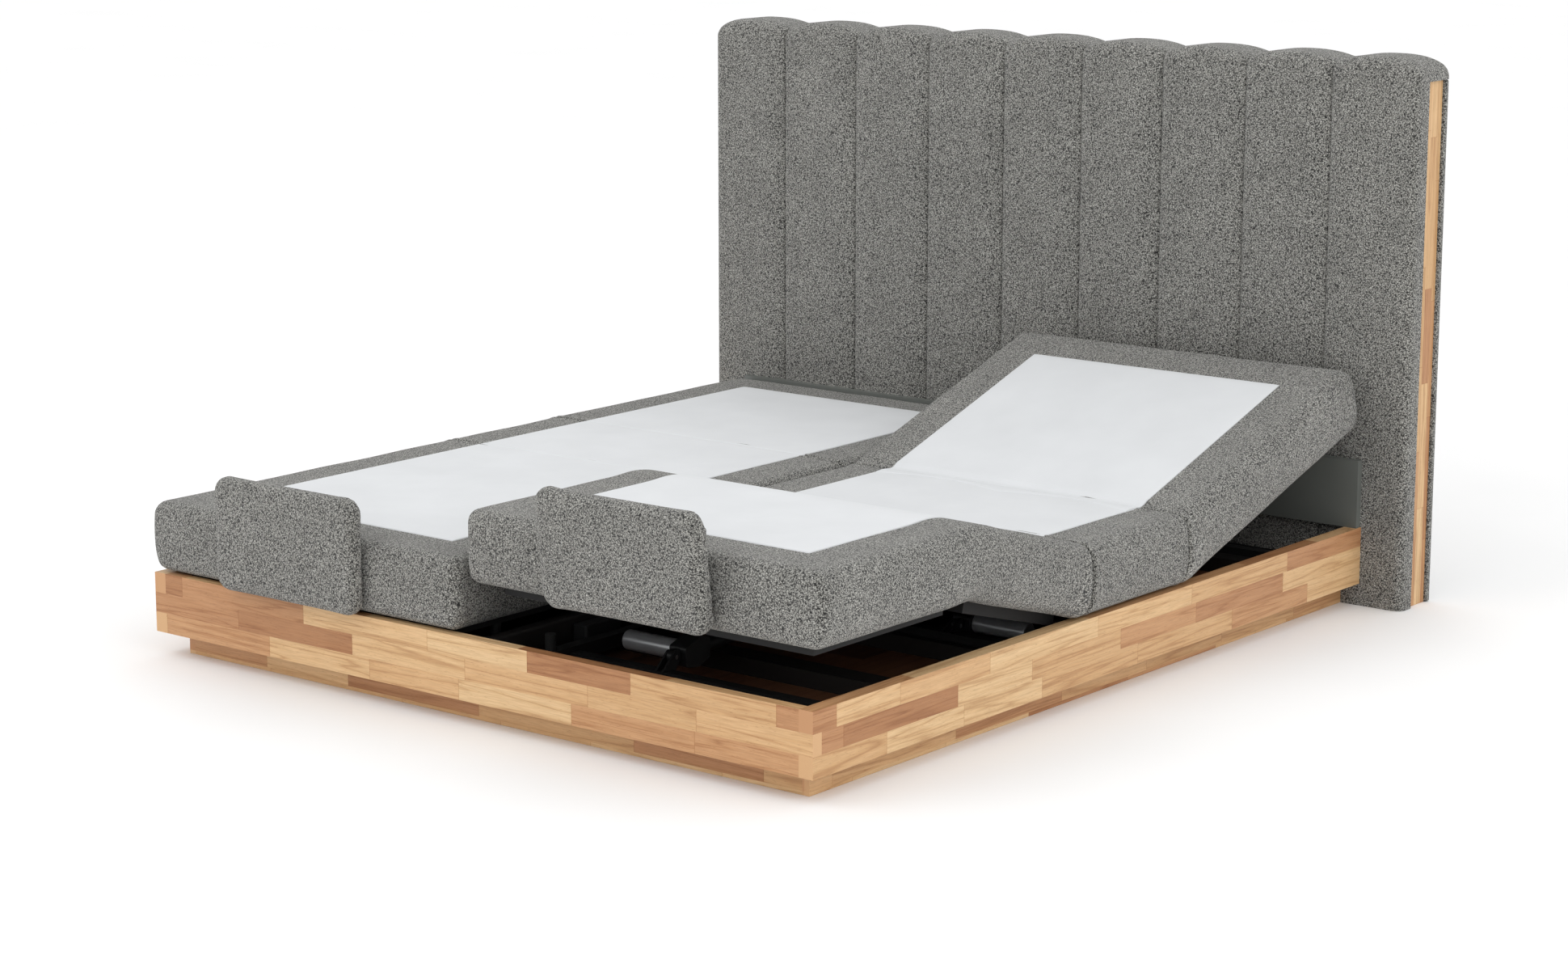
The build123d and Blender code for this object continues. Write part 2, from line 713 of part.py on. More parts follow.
def drive(side, kind):
    """A linear drive along its own line: gearbox with outer tube, motor can, and sliding rod."""
    pivot, angle, reach = drive_line(side, kind)
    offset = leg_drive_offset if kind == "leg" else back_drive_offset
    motor_turn = -1 if kind == "leg" else 1
    tube_length = leg_tube_length if kind == "leg" else back_tube_length
    rod_length = leg_rod_length if kind == "leg" else back_rod_length
    origin = (centre_x(side) + offset, world(pivot[0]), pivot[1])
    line = (0, cos(radians(angle)), sin(radians(angle)))
    plane = Plane(origin=origin, x_dir=line, z_dir=(1, 0, 0))
    across = Plane(origin=origin, x_dir=(1, 0, 0), z_dir=line)
    bore = rod_radius + rod_fit
    with BuildPart() as housing:
        with BuildSketch(plane):
            with BuildLine():
                FilletPolyline(
                    (lug_radius + gearbox_neck, gearbox_rear[0]),
                    (gearbox_length * gearbox_belly[0], -gearbox_belly[1]),
                    (gearbox_length, gearbox_front[0]),
                    (gearbox_length, gearbox_front[1]),
                    (gearbox_length * gearbox_crown[0], gearbox_crown[1]),
                    (lug_radius + gearbox_neck, gearbox_rear[1]),
                    radius=gearbox_radius,
                    close=True,
                )
            make_face()
        extrude(amount=gearbox_width / 2, both=True)
        with BuildSketch(plane):
            Circle(lug_radius)
            with Locations((lug_radius, 0)):
                Rectangle(2 * lug_radius, 2 * lug_radius)
            Circle(drive_pin_radius + pin_fit, mode=Mode.SUBTRACT)
        extrude(amount=lug_width / 2, both=True)
        with BuildSketch(across.offset(gearbox_length - 5)):
            Circle(drive_tube_radius)
        extrude(amount=tube_length - gearbox_length + 5)
        with BuildSketch(across.offset(2 * lug_radius)):
            Circle(bore)
        extrude(amount=tube_length, mode=Mode.SUBTRACT)
    save(housing, f"{side}_{kind}_actuator")
    with BuildPart() as motor:
        with BuildSketch(plane.offset(motor_turn * gearbox_width / 2)):
            with Locations((motor_along, 0)):
                Circle(motor_radius)
        extrude(amount=motor_turn * motor_length)
        fillet(motor.faces().filter_by(Plane.YZ).edges().filter_by(GeomType.CIRCLE), radius=3)
    save(motor, f"{side}_{kind}_motor")
    with BuildPart() as rod:
        with BuildSketch(across.offset(reach - rod_length)):
            Circle(rod_radius)
        extrude(amount=rod_length - lug_radius - 4)
        with BuildSketch(plane):
            with Locations((reach, 0)):
                Circle(lug_radius - 1)
            with Locations((reach - lug_radius, 0)):
                Rectangle(2 * lug_radius, 2 * rod_radius)
        extrude(amount=tongue_width / 2, both=True)
        cross_pin(plane, (reach, 0), drive_pin_radius, lever_gap - 2 * lever_pin_clear, 0)
    save(rod, f"{side}_{kind}_rod")


# ================= mattress stops =================
def stop(side):
    """Padded board on two bent bars screwed to the foot face of the leg section."""
    lean = radians(stance[side]["lean"])
    plane = leg_plane(side)
    shift = side_sign[side] * stop_offset
    foot = (box_foot_inset - stop_standoff, stop_bottom)
    up = (-sin(lean), cos(lean))
    inward = (cos(lean), sin(lean))
    origin = plane.from_local_coords((foot[0], foot[1], shift))
    face = Plane(origin=origin, x_dir=(1, 0, 0), z_dir=(0, -inward[0], -inward[1]))
    with BuildPart() as pad:
        with BuildSketch(face):
            with Locations((0, stop_height / 2)):
                RectangleRounded(stop_width, stop_height, stop_corner)
        extrude(amount=stop_thickness)
        fillet(pad.faces().sort_by(Axis((0, 0, 0), face.z_dir))[-1].edges(), radius=stop_radius)
    save(pad, f"{side}_stop_pad")
    half = stop_bar_thickness / 2
    rise = [stop_bar_bend - stop_bottom + stop_bar_rise, stop_bar_reach]
    route = [(box_foot_inset - half, stop_bar_foot), (box_foot_inset - half, stop_bar_bend)]
    route += [(foot[0] + up[0] * s + inward[0] * half, foot[1] + up[1] * s + inward[1] * half) for s in rise]
    with BuildPart() as bars:
        for offset in (-stop_bar_half, stop_bar_half):
            with BuildSketch(plane.offset(shift + offset)):
                with BuildLine() as path:
                    Polyline(*route)
                trace(path.line.edges(), line_width=stop_bar_thickness)
            extrude(amount=stop_bar_width / 2, both=True)
    save(bars, f"{side}_stop_bars")


foot_rail()
plinth()
floor()
brackets()
headboard()
fixed_pins()
buffers()
control_boxes()
for side in stance:
    side_rail(side)
    sections(side)
    back_frame(side)
    thigh_frame(side)
    leg_frame(side)
    base_frame(side)
    knee_pins(side)
    drive(side, "leg")
    drive(side, "back")
    stop(side)
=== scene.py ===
"""Final looks of the adjustable double bed base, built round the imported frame.

Lengths are in metres.
"""
import json
import math

import bpy
import numpy as np
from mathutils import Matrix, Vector


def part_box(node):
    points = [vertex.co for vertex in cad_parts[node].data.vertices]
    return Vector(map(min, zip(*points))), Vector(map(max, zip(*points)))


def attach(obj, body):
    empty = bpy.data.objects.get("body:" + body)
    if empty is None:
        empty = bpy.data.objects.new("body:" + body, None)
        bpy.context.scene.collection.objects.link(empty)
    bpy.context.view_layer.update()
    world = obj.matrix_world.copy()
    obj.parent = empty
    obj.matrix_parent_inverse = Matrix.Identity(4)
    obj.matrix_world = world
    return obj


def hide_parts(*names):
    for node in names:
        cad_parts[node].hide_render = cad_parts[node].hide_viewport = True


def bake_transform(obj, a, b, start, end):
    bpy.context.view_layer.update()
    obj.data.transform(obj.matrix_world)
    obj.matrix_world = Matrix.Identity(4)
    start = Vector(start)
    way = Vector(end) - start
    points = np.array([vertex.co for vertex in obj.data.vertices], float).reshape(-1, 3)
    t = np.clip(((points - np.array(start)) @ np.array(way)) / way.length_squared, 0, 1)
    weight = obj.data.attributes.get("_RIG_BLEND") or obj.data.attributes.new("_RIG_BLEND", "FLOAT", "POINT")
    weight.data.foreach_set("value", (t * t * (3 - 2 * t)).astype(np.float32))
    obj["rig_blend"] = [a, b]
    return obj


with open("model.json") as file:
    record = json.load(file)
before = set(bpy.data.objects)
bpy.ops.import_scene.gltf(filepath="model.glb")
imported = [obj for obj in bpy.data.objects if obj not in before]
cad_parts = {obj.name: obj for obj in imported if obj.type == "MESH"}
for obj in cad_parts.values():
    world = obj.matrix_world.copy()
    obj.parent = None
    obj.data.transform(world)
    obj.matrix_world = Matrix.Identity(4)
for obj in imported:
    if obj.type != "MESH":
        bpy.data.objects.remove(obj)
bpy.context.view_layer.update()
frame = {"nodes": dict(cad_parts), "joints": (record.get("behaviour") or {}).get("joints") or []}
nodes = frame["nodes"]
joints = {j["name"]: j for j in frame["joints"]}

SIDES = ("left", "right")
BACK, HIP, KNEE = (np.array(joints[f"left_{n}"]["pos_m"]) for n in ("back_lift", "thigh_lift", "knee_fold"))
BOX_LOW, BOX_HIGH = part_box("left_leg_box")
BACK_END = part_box("left_back_box")[1].y
DECK_LOW, DECK_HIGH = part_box("left_leg_top")
DECK_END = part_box("left_back_top")[1].y
CENTRE = {s: joints[f"{s}_back_lift"]["pos_m"][0] for s in SIDES}
HALF = (BOX_HIGH.x - BOX_LOW.x) / 2
DECK_HALF = (DECK_HIGH.x - DECK_LOW.x) / 2
COVER_LOW, COVER_HIGH = BOX_LOW.z, DECK_HIGH.z
THIGH_JOIN = (HIP[1] + KNEE[1]) / 2  # leg and thigh covers meet here, where both ride with the thigh
KNEE_REACH = 0.10  # the covers bend over this length either side of the knee
HINGE_REACH = 0.035  # and over this length from the back and thigh hinges
CUSHION_LOW, CUSHION_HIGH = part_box("headboard_cushion")
STRIP_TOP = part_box("headboard_strips")[1].z
REAR_LOW, REAR_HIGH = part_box("headboard_rear_pad")
CHANNELS = 9
CHANNEL_PITCH = 2 * CUSHION_HIGH.x / CHANNELS
RING_STEP = 0.012
FOLD_LINE = 0.035  # how far before the back hinge the right deck's cloth folds


# ---- mesh helpers ----

def lift_of(side, name):
    """How far a section already stands up at rest, in radians."""
    return -math.radians(joints[f"{side}_{name}"]["range_deg"][0])


def turned(points, pivot, angle):
    """points turned about +X through pivot, each by its own angle."""
    y, z = points[:, 1] - pivot[1], points[:, 2] - pivot[2]
    out = points.copy()
    out[:, 1] = pivot[1] + y * np.cos(angle) - z * np.sin(angle)
    out[:, 2] = pivot[2] + y * np.sin(angle) + z * np.cos(angle)
    return out


def coords(obj):
    return np.array([v.co for v in obj.data.vertices], float)


def set_coords(obj, points):
    obj.data.vertices.foreach_set("co", points.astype(np.float32).ravel())
    obj.data.update()


def keep_flat(obj):
    """Stores where each point lies on the flat bed, for the weave."""
    mesh = obj.data
    layer = mesh.attributes.get("flat") or mesh.attributes.new("flat", "FLOAT_VECTOR", "POINT")
    layer.data.foreach_set("vector", coords(obj).astype(np.float32).ravel())


def finish_mesh(name, mesh, material, sharp=50):
    mesh.validate()
    for polygon in mesh.polygons:
        polygon.use_smooth = True
    mesh.set_sharp_from_angle(angle=math.radians(sharp))
    obj = bpy.data.objects.new(name, mesh)
    bpy.context.scene.collection.objects.link(obj)
    mesh.materials.append(material)
    return obj


def tube(name, rings, material, sharp=50):
    """A closed skin through equal rings of points, with a flat face at each end and its normals outward."""
    count = len(rings[0])
    points = [tuple(p) for ring in rings for p in ring]
    faces = [tuple(range(count))[::-1], tuple(range(len(points) - count, len(points)))]
    for r in range(len(rings) - 1):
        for k in range(count):
            n = (k + 1) % count
            faces.append((r * count + k, r * count + n, (r + 1) * count + n, (r + 1) * count + k))
    mesh = bpy.data.meshes.new(name)
    mesh.from_pydata(points, [], faces)
    obj = finish_mesh(name, mesh, material, sharp)
    end_face = mesh.polygons[0]
    if end_face.normal.dot(Vector(coords(obj).mean(0)) - end_face.center) >= 0:
        mesh.flip_normals()
    return obj


def arc(centre, radius, first, last, steps=6):
    angles = np.radians(np.linspace(first, last, steps + 1))
    return [(centre[0] + radius * math.cos(a), centre[1] + radius * math.sin(a)) for a in angles]


def slab_ring(half, low, high, top_r, low_r, inset, bulge=(0.0, 0.0), tuck=0.0):
    """One cross-section, (x, z): a rounded rectangle with bulging sides and a tucked-in underside."""
    wide = half - inset
    top, bottom = high - inset, low + inset
    rt, rb = max(top_r - inset, 0.0012), max(low_r - inset, 0.0012)
    points = []
    for sign, out in ((1, bulge[1]), (-1, bulge[0])):
        run = [(x, top) for x in np.linspace(0.0, wide - rt, 12)]
        run += arc((wide - rt, top - rt), rt, 90, 0)[1:]
        run += [(wide, z) for z in np.linspace(top - rt, bottom + rb, 9)][1:]
        run += arc((wide - rb, bottom + rb), rb, 0, -90)[1:]
        run += [(x, bottom) for x in np.linspace(wide - rb, 0.0, 8)][1:]
        side = []
        for x, z in run:
            part = (z - low) / (high - low)
            edge = (x / wide) ** 4
            x += edge * out * math.sin(math.pi * min(max(part, 0.0), 1.0)) ** 0.8
            x -= edge * tuck * max(0.0, 1 - part / 0.35) ** 2
            side.append((sign * x, z))
        points += side if sign > 0 else side[::-1][1:-1]
    return points


def rounded_end(radius, crown=0.0):
    """(depth behind the end face, inset) of the rings that round a section's end."""
    angles = np.radians(np.linspace(0, 90, 7))
    rows = [(radius * (1 - math.sin(a)), radius * (1 - math.cos(a))) for a in angles]
    if crown:
        rows += [(-crown * 0.75, radius + 0.02), (-crown, radius + 0.042)]
    return rows


# Ends of a section, as (depth behind the end face, inset) from the full section outward.
HEM_END = [(0.022, 0.0), (0.015, -0.0016), (0.010, -0.002), (0.006, -0.0006), (0.0036, 0.003),
           (0.0022, 0.012)]
OPEN_END = [(0.0, 0.0)]
ROUND_END = rounded_end(0.026, 0.0035)
DECK_JOIN = [(0.004, 0.0), (0.0015, 0.0004), (0.0004, 0.0010)]
DECK_HEM = [(0.003, 0.0), (0.001, 0.0008), (0.0, 0.0022)]
COVER_ENDS = {"leg": (ROUND_END, OPEN_END), "thigh": (OPEN_END, HEM_END), "seat": (HEM_END, HEM_END),
              "back": (HEM_END, ROUND_END)}
DECK_ENDS = {"leg": (DECK_HEM, OPEN_END), "thigh": (OPEN_END, DECK_JOIN), "seat": (DECK_JOIN, DECK_JOIN),
             "back": (DECK_JOIN, DECK_HEM)}


def rows_between(first, last, step):
    return list(np.linspace(first, last, max(2, int(abs(last - first) / step))))


def slab(name, side, span, ends, shape, material, fine):
    """A section lofted from span[0] to span[1] along Y, each end shaped by its list of rings."""
    near = [(span[0] + depth, inset) for depth, inset in ends[0][::-1]]
    far = [(span[1] - depth, inset) for depth, inset in ends[1]]
    first, last = near[-1][0], far[0][0]
    inner = {y for y in rows_between(first, last, RING_STEP)[1:-1] + fine if first < y < last}
    rings = []
    for y, inset in near + [(y, 0.0) for y in sorted(inner)] + far:
        rings.append([(CENTRE[side] + x, y, z) for x, z in slab_ring(inset=inset, **shape)])
    return tube(name, rings, material)


def waves(points, amount):
    """Adds the small unevenness of stretched cloth, without any randomness."""
    x, y, z = points.T
    shift = np.sin(x * 19 + 1.3 * np.sin(y * 7)) * np.sin(y * 13 + z * 11) + 0.6 * np.sin(x * 31 + y * 23)
    out = points.copy()
    out[:, 2] += amount * shift * (z > COVER_HIGH - 0.03)  # the top
    out[:, 0] += amount * np.sin(y * 21 + z * 17) * np.sign(x) * (z < COVER_HIGH - 0.02)  # the sides
    return out


def settle(obj, side, kind):
    keep_flat(obj)
    if kind == "seat":
        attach(obj, "frame")
        return
    pivot, first, second, before, after = {
        "back": (BACK, "frame", f"{side}_back", 0.0, HINGE_REACH),
        "thigh": (HIP, "frame", f"{side}_thigh", 0.0, -HINGE_REACH),
        "leg": (KNEE, f"{side}_thigh", f"{side}_leg", KNEE_REACH, -KNEE_REACH),
    }[kind]
    start = (CENTRE[side], pivot[1] + before, pivot[2])
    end = (CENTRE[side], pivot[1] + after, pivot[2])
    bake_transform(obj, first, second, start=start, end=end)
    flat = coords(obj)
    weight = np.zeros(len(flat), np.float32)
    obj.data.attributes["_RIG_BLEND"].data.foreach_get("value", weight)
    lift = lift_of(side, "back_lift" if kind == "back" else "thigh_lift")
    if kind == "back":
        bent = turned(flat, BACK, weight * lift)
    elif kind == "thigh":
        bent = turned(flat, HIP, -weight * lift)
    else:
        bent = turned(turned(flat, KNEE, weight * lift), HIP, -lift)
    set_coords(obj, bent)


# ---- materials ----

class Shader:
    """A small helper that adds nodes to one material."""

    def __init__(self, name):
        self.material = bpy.data.materials.new(name)
        self.material.use_nodes = True
        self.tree = self.material.node_tree
        self.bsdf = self.tree.nodes["Principled BSDF"]

    def add(self, kind, inputs=(), **settings):
        node = self.tree.nodes.new(kind)
        for key, value in settings.items():
            setattr(node, key, value)
        for key, value in dict(inputs).items():
            self.put(value, node.inputs[key])
        return node

    def put(self, value, socket):
        if isinstance(value, bpy.types.NodeSocket):
            self.tree.links.new(value, socket)
        else:
            socket.default_value = value

    def math(self, operation, a, b=0.0, c=0.0):
        return self.add("ShaderNodeMath", {0: a, 1: b, 2: c}, operation=operation).outputs[0]

    def ramp(self, factor, stops, interpolation="LINEAR"):
        node = self.add("ShaderNodeValToRGB", {"Fac": factor})
        node.color_ramp.interpolation = interpolation
        while len(node.color_ramp.elements) < len(stops):
            node.color_ramp.elements.new(0.5)
        for element, (position, colour) in zip(node.color_ramp.elements, stops):
            element.position = position
            element.color = linear(colour)
        return node.outputs["Color"]

    def mix(self, factor, a, b, blend="MIX"):
        node = self.add("ShaderNodeMix", {0: factor, 6: a, 7: b}, data_type="RGBA", blend_type=blend)
        return node.outputs[2]

    def noise(self, vector, scale, detail=2.0, rough=0.5):
        inputs = {"Vector": vector, "Scale": scale, "Detail": detail, "Roughness": rough}
        return self.add("ShaderNodeTexNoise", inputs).outputs["Fac"]

    def stretch(self, vector, scale):
        return self.add("ShaderNodeVectorMath", {0: vector, 1: scale}, operation="MULTIPLY").outputs[0]

    def bump(self, height, strength, distance):
        node = self.add("ShaderNodeBump", {"Height": height, "Strength": strength, "Distance": distance})
        self.put(node.outputs["Normal"], self.bsdf.inputs["Normal"])

    def flat(self):
        return self.add("ShaderNodeAttribute", attribute_name="flat").outputs["Vector"]

    def place(self):
        return self.add("ShaderNodeTexCoord").outputs["Object"]

    def surface(self, colour, roughness, metallic=0.0, **more):
        self.put(colour, self.bsdf.inputs["Base Color"])
        self.put(roughness, self.bsdf.inputs["Roughness"])
        self.bsdf.inputs["Metallic"].default_value = metallic
        for key, value in more.items():
            self.bsdf.inputs[key.replace("_", " ")].default_value = value
        return self.material


def linear(colour, alpha=1.0):
    """An sRGB colour given as 0 to 255, as Blender's linear colour."""
    return (*[(c / 255 / 12.92) if c <= 10 else ((c / 255 + 0.055) / 1.055) ** 2.4 for c in colour], alpha)


def boucle():
    """Mid-grey melange upholstery with a knobbly, matte surface. Its tone is partly the yarn's melange and
    partly painted shade: darker in the hollows between the loops, lighter on their tops.
    """
    s = Shader("grey_boucle")
    p = s.flat()
    wander = s.add("ShaderNodeTexNoise", {"Vector": p, "Scale": 190.0, "Detail": 1.0}).outputs["Color"]
    bent = s.add("ShaderNodeVectorMath", {0: wander, 1: (0.006,) * 3, 2: p}, operation="MULTIPLY_ADD")
    loops = s.add("ShaderNodeTexVoronoi", {"Vector": bent.outputs[0], "Scale": 330.0}, feature="SMOOTH_F1")
    s.put(0.35, loops.inputs["Smoothness"])
    distance = loops.outputs["Distance"]
    fine = s.noise(p, 520.0, 2.0, 0.6)
    height = s.math("SUBTRACT", s.math("MULTIPLY", fine, 0.35), distance)
    # painted shade on top of the melange tone: the colour follows the loops' height, near black in the
    # hollows between loops and near white on their tops
    tone = s.ramp(s.math("ADD", height, 0.62), [(0.05, (28, 28, 27)), (0.3, (118, 117, 112)),
                                                (0.52, (177, 176, 170)), (0.8, (244, 243, 236))])
    patch = s.ramp(s.noise(p, 9.0, 3.0), [(0.3, (236, 236, 236)), (0.7, (255, 255, 255))])
    s.bump(height, 0.9, 0.0034)
    return s.surface(s.mix(1.0, tone, patch, "MULTIPLY"), 0.95, Sheen_Weight=0.25, Sheen_Roughness=0.6,
                     Specular_IOR_Level=0.15)


def white_cloth():
    """Smooth white deck cloth with a fine weave."""
    s = Shader("white_cloth")
    p = s.flat()
    across = s.add("ShaderNodeTexWave", {"Vector": p, "Scale": 190.0}, bands_direction="X").outputs["Fac"]
    along = s.add("ShaderNodeTexWave", {"Vector": p, "Scale": 190.0}, bands_direction="Y").outputs["Fac"]
    weave = s.math("ADD", across, along)
    soft = s.noise(p, 7.0, 3.0)
    tone = s.ramp(soft, [(0.25, (211, 213, 215)), (0.75, (217, 219, 221))])
    s.bump(s.math("ADD", s.math("MULTIPLY", weave, 0.04), s.math("MULTIPLY", soft, 0.6)), 0.25, 0.002)
    return s.surface(tone, 0.85, Sheen_Weight=0.1, Specular_IOR_Level=0.2)


BEECH_TONES = [(0.0, (220, 184, 138)), (0.2, (211, 172, 126)), (0.36, (199, 153, 110)),
               (0.5, (223, 190, 145)), (0.64, (188, 140, 99)), (0.76, (215, 176, 130)),
               (0.90, (176, 127, 87)), (0.96, (203, 159, 114))]
# painted shade: the floor boards are beech like the rails, and these darker browns paint the shade under the
# boxes into their colour
SHADED_BEECH_BOARD_TONES = [(0.0, (128, 86, 60)), (0.3, (106, 70, 48)), (0.55, (142, 98, 68)), (0.8, (98, 64, 46))]
PINE_TONES = [(0.0, (206, 178, 134)), (0.5, (196, 166, 122))]


def staves(name, axis, tones, stave=0.046, length=0.34, gloss=0.42):
    """Finger-jointed wood: rows of staves of uneven length along an axis, each with its own tone."""
    s = Shader(name)
    split = s.add("ShaderNodeSeparateXYZ", {0: s.place()})
    axes = {"x": (0, 1, 2), "y": (1, 0, 2), "z": (2, 0, 1)}[axis]
    along, beside, up = (split.outputs[k] for k in axes)
    row = s.math("FLOOR", s.math("DIVIDE", s.math("ADD", up, -0.008), stave))
    layer = s.math("FLOOR", s.math("DIVIDE", s.math("ADD", beside, 0.013), 0.1))
    seed = s.math("ADD", s.math("MULTIPLY", row, 7.31), s.math("MULTIPLY", layer, 3.17))
    run = s.math("ADD", s.math("DIVIDE", along, length), s.math("MULTIPLY", seed, 5.77))
    cuts = {"W": run, "Scale": 1.0, "Randomness": 0.85}
    cell = s.add("ShaderNodeTexVoronoi", cuts, voronoi_dimensions="1D")
    pick = s.add("ShaderNodeSeparateColor", {0: cell.outputs["Color"]})
    pick_row = s.add("ShaderNodeTexWhiteNoise", {"W": seed}, noise_dimensions="1D").outputs["Value"]
    chance = s.math("FRACT", s.math("ADD", s.math("MULTIPLY", pick.outputs[0], 3.0), pick_row))
    tone = s.ramp(chance, tones, "CONSTANT")
    shift = s.math("MULTIPLY", pick.outputs[1], 9.0)
    grain = s.add("ShaderNodeCombineXYZ", {0: s.math("ADD", s.math("MULTIPLY", along, 0.045), shift),
                                           1: s.math("ADD", beside, shift), 2: s.math("ADD", up, shift)})
    coarse = s.add("ShaderNodeTexNoise", {"Vector": grain.outputs[0], "Scale": 19.0, "Detail": 3.0,
                                          "Distortion": 0.6}).outputs["Fac"]
    rings = s.math("PINGPONG", s.math("MULTIPLY", coarse, 15.0), 1.0)
    fibre = s.noise(grain.outputs[0], 420.0, 3.0, 0.65)
    line = s.ramp(rings, [(0.0, (212, 192, 172)), (0.3, (246, 240, 232)), (1.0, (255, 255, 255))])
    hair = s.ramp(fibre, [(0.3, (214, 204, 194)), (0.62, (255, 255, 255))])
    fleck_at = s.stretch(grain.outputs[0], (900.0, 260.0, 260.0))
    fleck = s.add("ShaderNodeTexVoronoi", {"Vector": fleck_at, "Scale": 1.0}).outputs["Distance"]
    flecks = s.ramp(fleck, [(0.10, (206, 190, 172)), (0.2, (255, 255, 255))])
    colour = s.mix(0.75, tone, line, "MULTIPLY")
    colour = s.mix(0.6, colour, hair, "MULTIPLY")
    colour = s.mix(0.5, colour, flecks, "MULTIPLY")
    normal = s.add("ShaderNodeSeparateXYZ", {0: s.add("ShaderNodeTexCoord").outputs["Normal"]})
    end = s.math("GREATER_THAN", s.math("ABSOLUTE", normal.outputs[axes[0]]), 0.8)
    spots = s.noise(s.place(), 700.0, 2.0, 0.7)
    end_tone = s.mix(s.math("MULTIPLY", spots, 0.7), tone, linear(tones[4 % len(tones)][1]))
    colour = s.mix(end, colour, end_tone)
    joint = s.add("ShaderNodeTexVoronoi", cuts, voronoi_dimensions="1D",
                  feature="DISTANCE_TO_EDGE").outputs["Distance"]
    seam = s.ramp(joint, [(0.0, (214, 190, 165)), (0.004, (255, 255, 255))])
    colour = s.mix(s.math("MULTIPLY", s.math("SUBTRACT", 1.0, end), 0.7), colour, seam, "MULTIPLY")
    s.bump(s.math("ADD", s.math("MULTIPLY", fibre, 0.5), s.math("MULTIPLY", rings, 0.3)), 0.12, 0.0006)
    rough = s.math("MULTIPLY_ADD", fibre, 0.14, gloss)
    return s.surface(colour, rough, Specular_IOR_Level=0.4, Coat_Weight=0.06, Coat_Roughness=0.35)


def painted(name, colour, roughness, grit=900.0, depth=0.00015, metallic=0.0, spread=0.08):
    """Lacquer, powder coat, plastic or plain metal: a fine texture and slight tone and gloss changes."""
    s = Shader(name)
    p = s.place()
    speck = s.noise(p, grit, 2.0, 0.6)
    cloud = s.noise(p, 6.0, 3.0)
    dark = tuple(c * (1 - spread) for c in colour)
    light = tuple(min(255, c * (1 + spread)) for c in colour)
    tone = s.ramp(s.math("ADD", s.math("MULTIPLY", cloud, 0.7), s.math("MULTIPLY", speck, 0.3)),
                  [(0.3, dark), (0.7, light)])
    s.bump(speck, 0.35, depth)
    return s.surface(tone, s.math("MULTIPLY_ADD", cloud, 0.12, roughness - 0.06), metallic)


def floor_paint():
    """The white studio floor."""
    s = Shader("floor_paint")
    tone = s.ramp(s.noise(s.place(), 1.5, 2.0), [(0.3, (250, 250, 250)), (0.7, (253, 253, 253))])
    return s.surface(tone, 0.9, Specular_IOR_Level=0.1)


MATERIALS = {
    "boucle": boucle(),
    "white": white_cloth(),
    "rail_y": staves("beech_along_rail", "y", BEECH_TONES),
    "rail_x": staves("beech_across_foot", "x", BEECH_TONES),
    "strip": staves("beech_upright", "z", BEECH_TONES, stave=0.031, length=0.30),
    # the boards' dark brown is painted shade over beech grain
    "board": staves("brown_board", "y", SHADED_BEECH_BOARD_TONES, stave=0.2, length=2.5, gloss=0.5),
    "beam": painted("black_beam", (30, 27, 26), 0.55, grit=300.0),
    # partly painted shade: the frames are black steel, darkened further to near black so the frames under the
    # covers read as shade
    "bar": painted("black_steel", (11, 11, 12), 0.7),
    "plate": painted("grey_lacquer", (104, 107, 103), 0.38, grit=1400.0, depth=0.00005, spread=0.04),
    "core": staves("pine_core", "z", PINE_TONES, stave=0.12, length=2.2),
    "pin": painted("zinc_steel", (168, 170, 172), 0.3, metallic=1.0),
    "rubber": painted("black_rubber", (26, 26, 26), 0.75),
    "plastic": painted("black_plastic", (32, 33, 34), 0.45, grit=1200.0),
    "motor": painted("motor_can", (196, 198, 201), 0.3, metallic=0.55, grit=1500.0, depth=0.00004),
    "rod": painted("polished_rod", (188, 190, 192), 0.16, metallic=1.0, depth=0.00002, spread=0.03),
}

# The first entry whose text is in a node's name says how that node looks.
NODE_LOOKS = [
    ("side_rail", "rail_y"), ("foot_rail", "rail_x"), ("plinth_sides", "rail_y"), ("plinth_ends", "rail_x"),
    ("floor_boards", "board"), ("cross_beams", "beam"), ("centre_beam", "beam"), ("frame_brackets", "bar"),
    ("headboard_bolts", "pin"), ("headboard_core", "core"), ("headboard_strips", "strip"),
    ("head_plate", "plate"),
    ("rest_buffers", "rubber"), ("control_boxes", "plastic"), ("pivot_pins", "pin"), ("_pins", "pin"),
    ("_rod", "rod"), ("_motor", "motor"), ("_actuator", "plastic"), ("_frame", "bar"), ("_bars", "bar"),
]


def paint_nodes():
    for name, obj in nodes.items():
        look = next((material for part, material in NODE_LOOKS if part in name), None)
        if look:
            obj.data.materials.clear()
            obj.data.materials.append(MATERIALS[look])


# ---- soft sections of the motor boxes ----

def cover_shape(side):
    """Outline of a grey cover, fuller on the outer side than beside the other box."""
    inner, outer = 0.0006, 0.009
    bulge = (outer, inner) if side == "left" else (inner, outer)
    return dict(half=HALF, low=COVER_LOW, high=COVER_HIGH - 0.001, top_r=0.03, low_r=0.02, bulge=bulge,
                tuck=0.012)


DECK_SHAPE = dict(half=DECK_HALF, low=COVER_HIGH - 0.006, high=COVER_HIGH + 0.0015, top_r=0.0022, low_r=0.001)


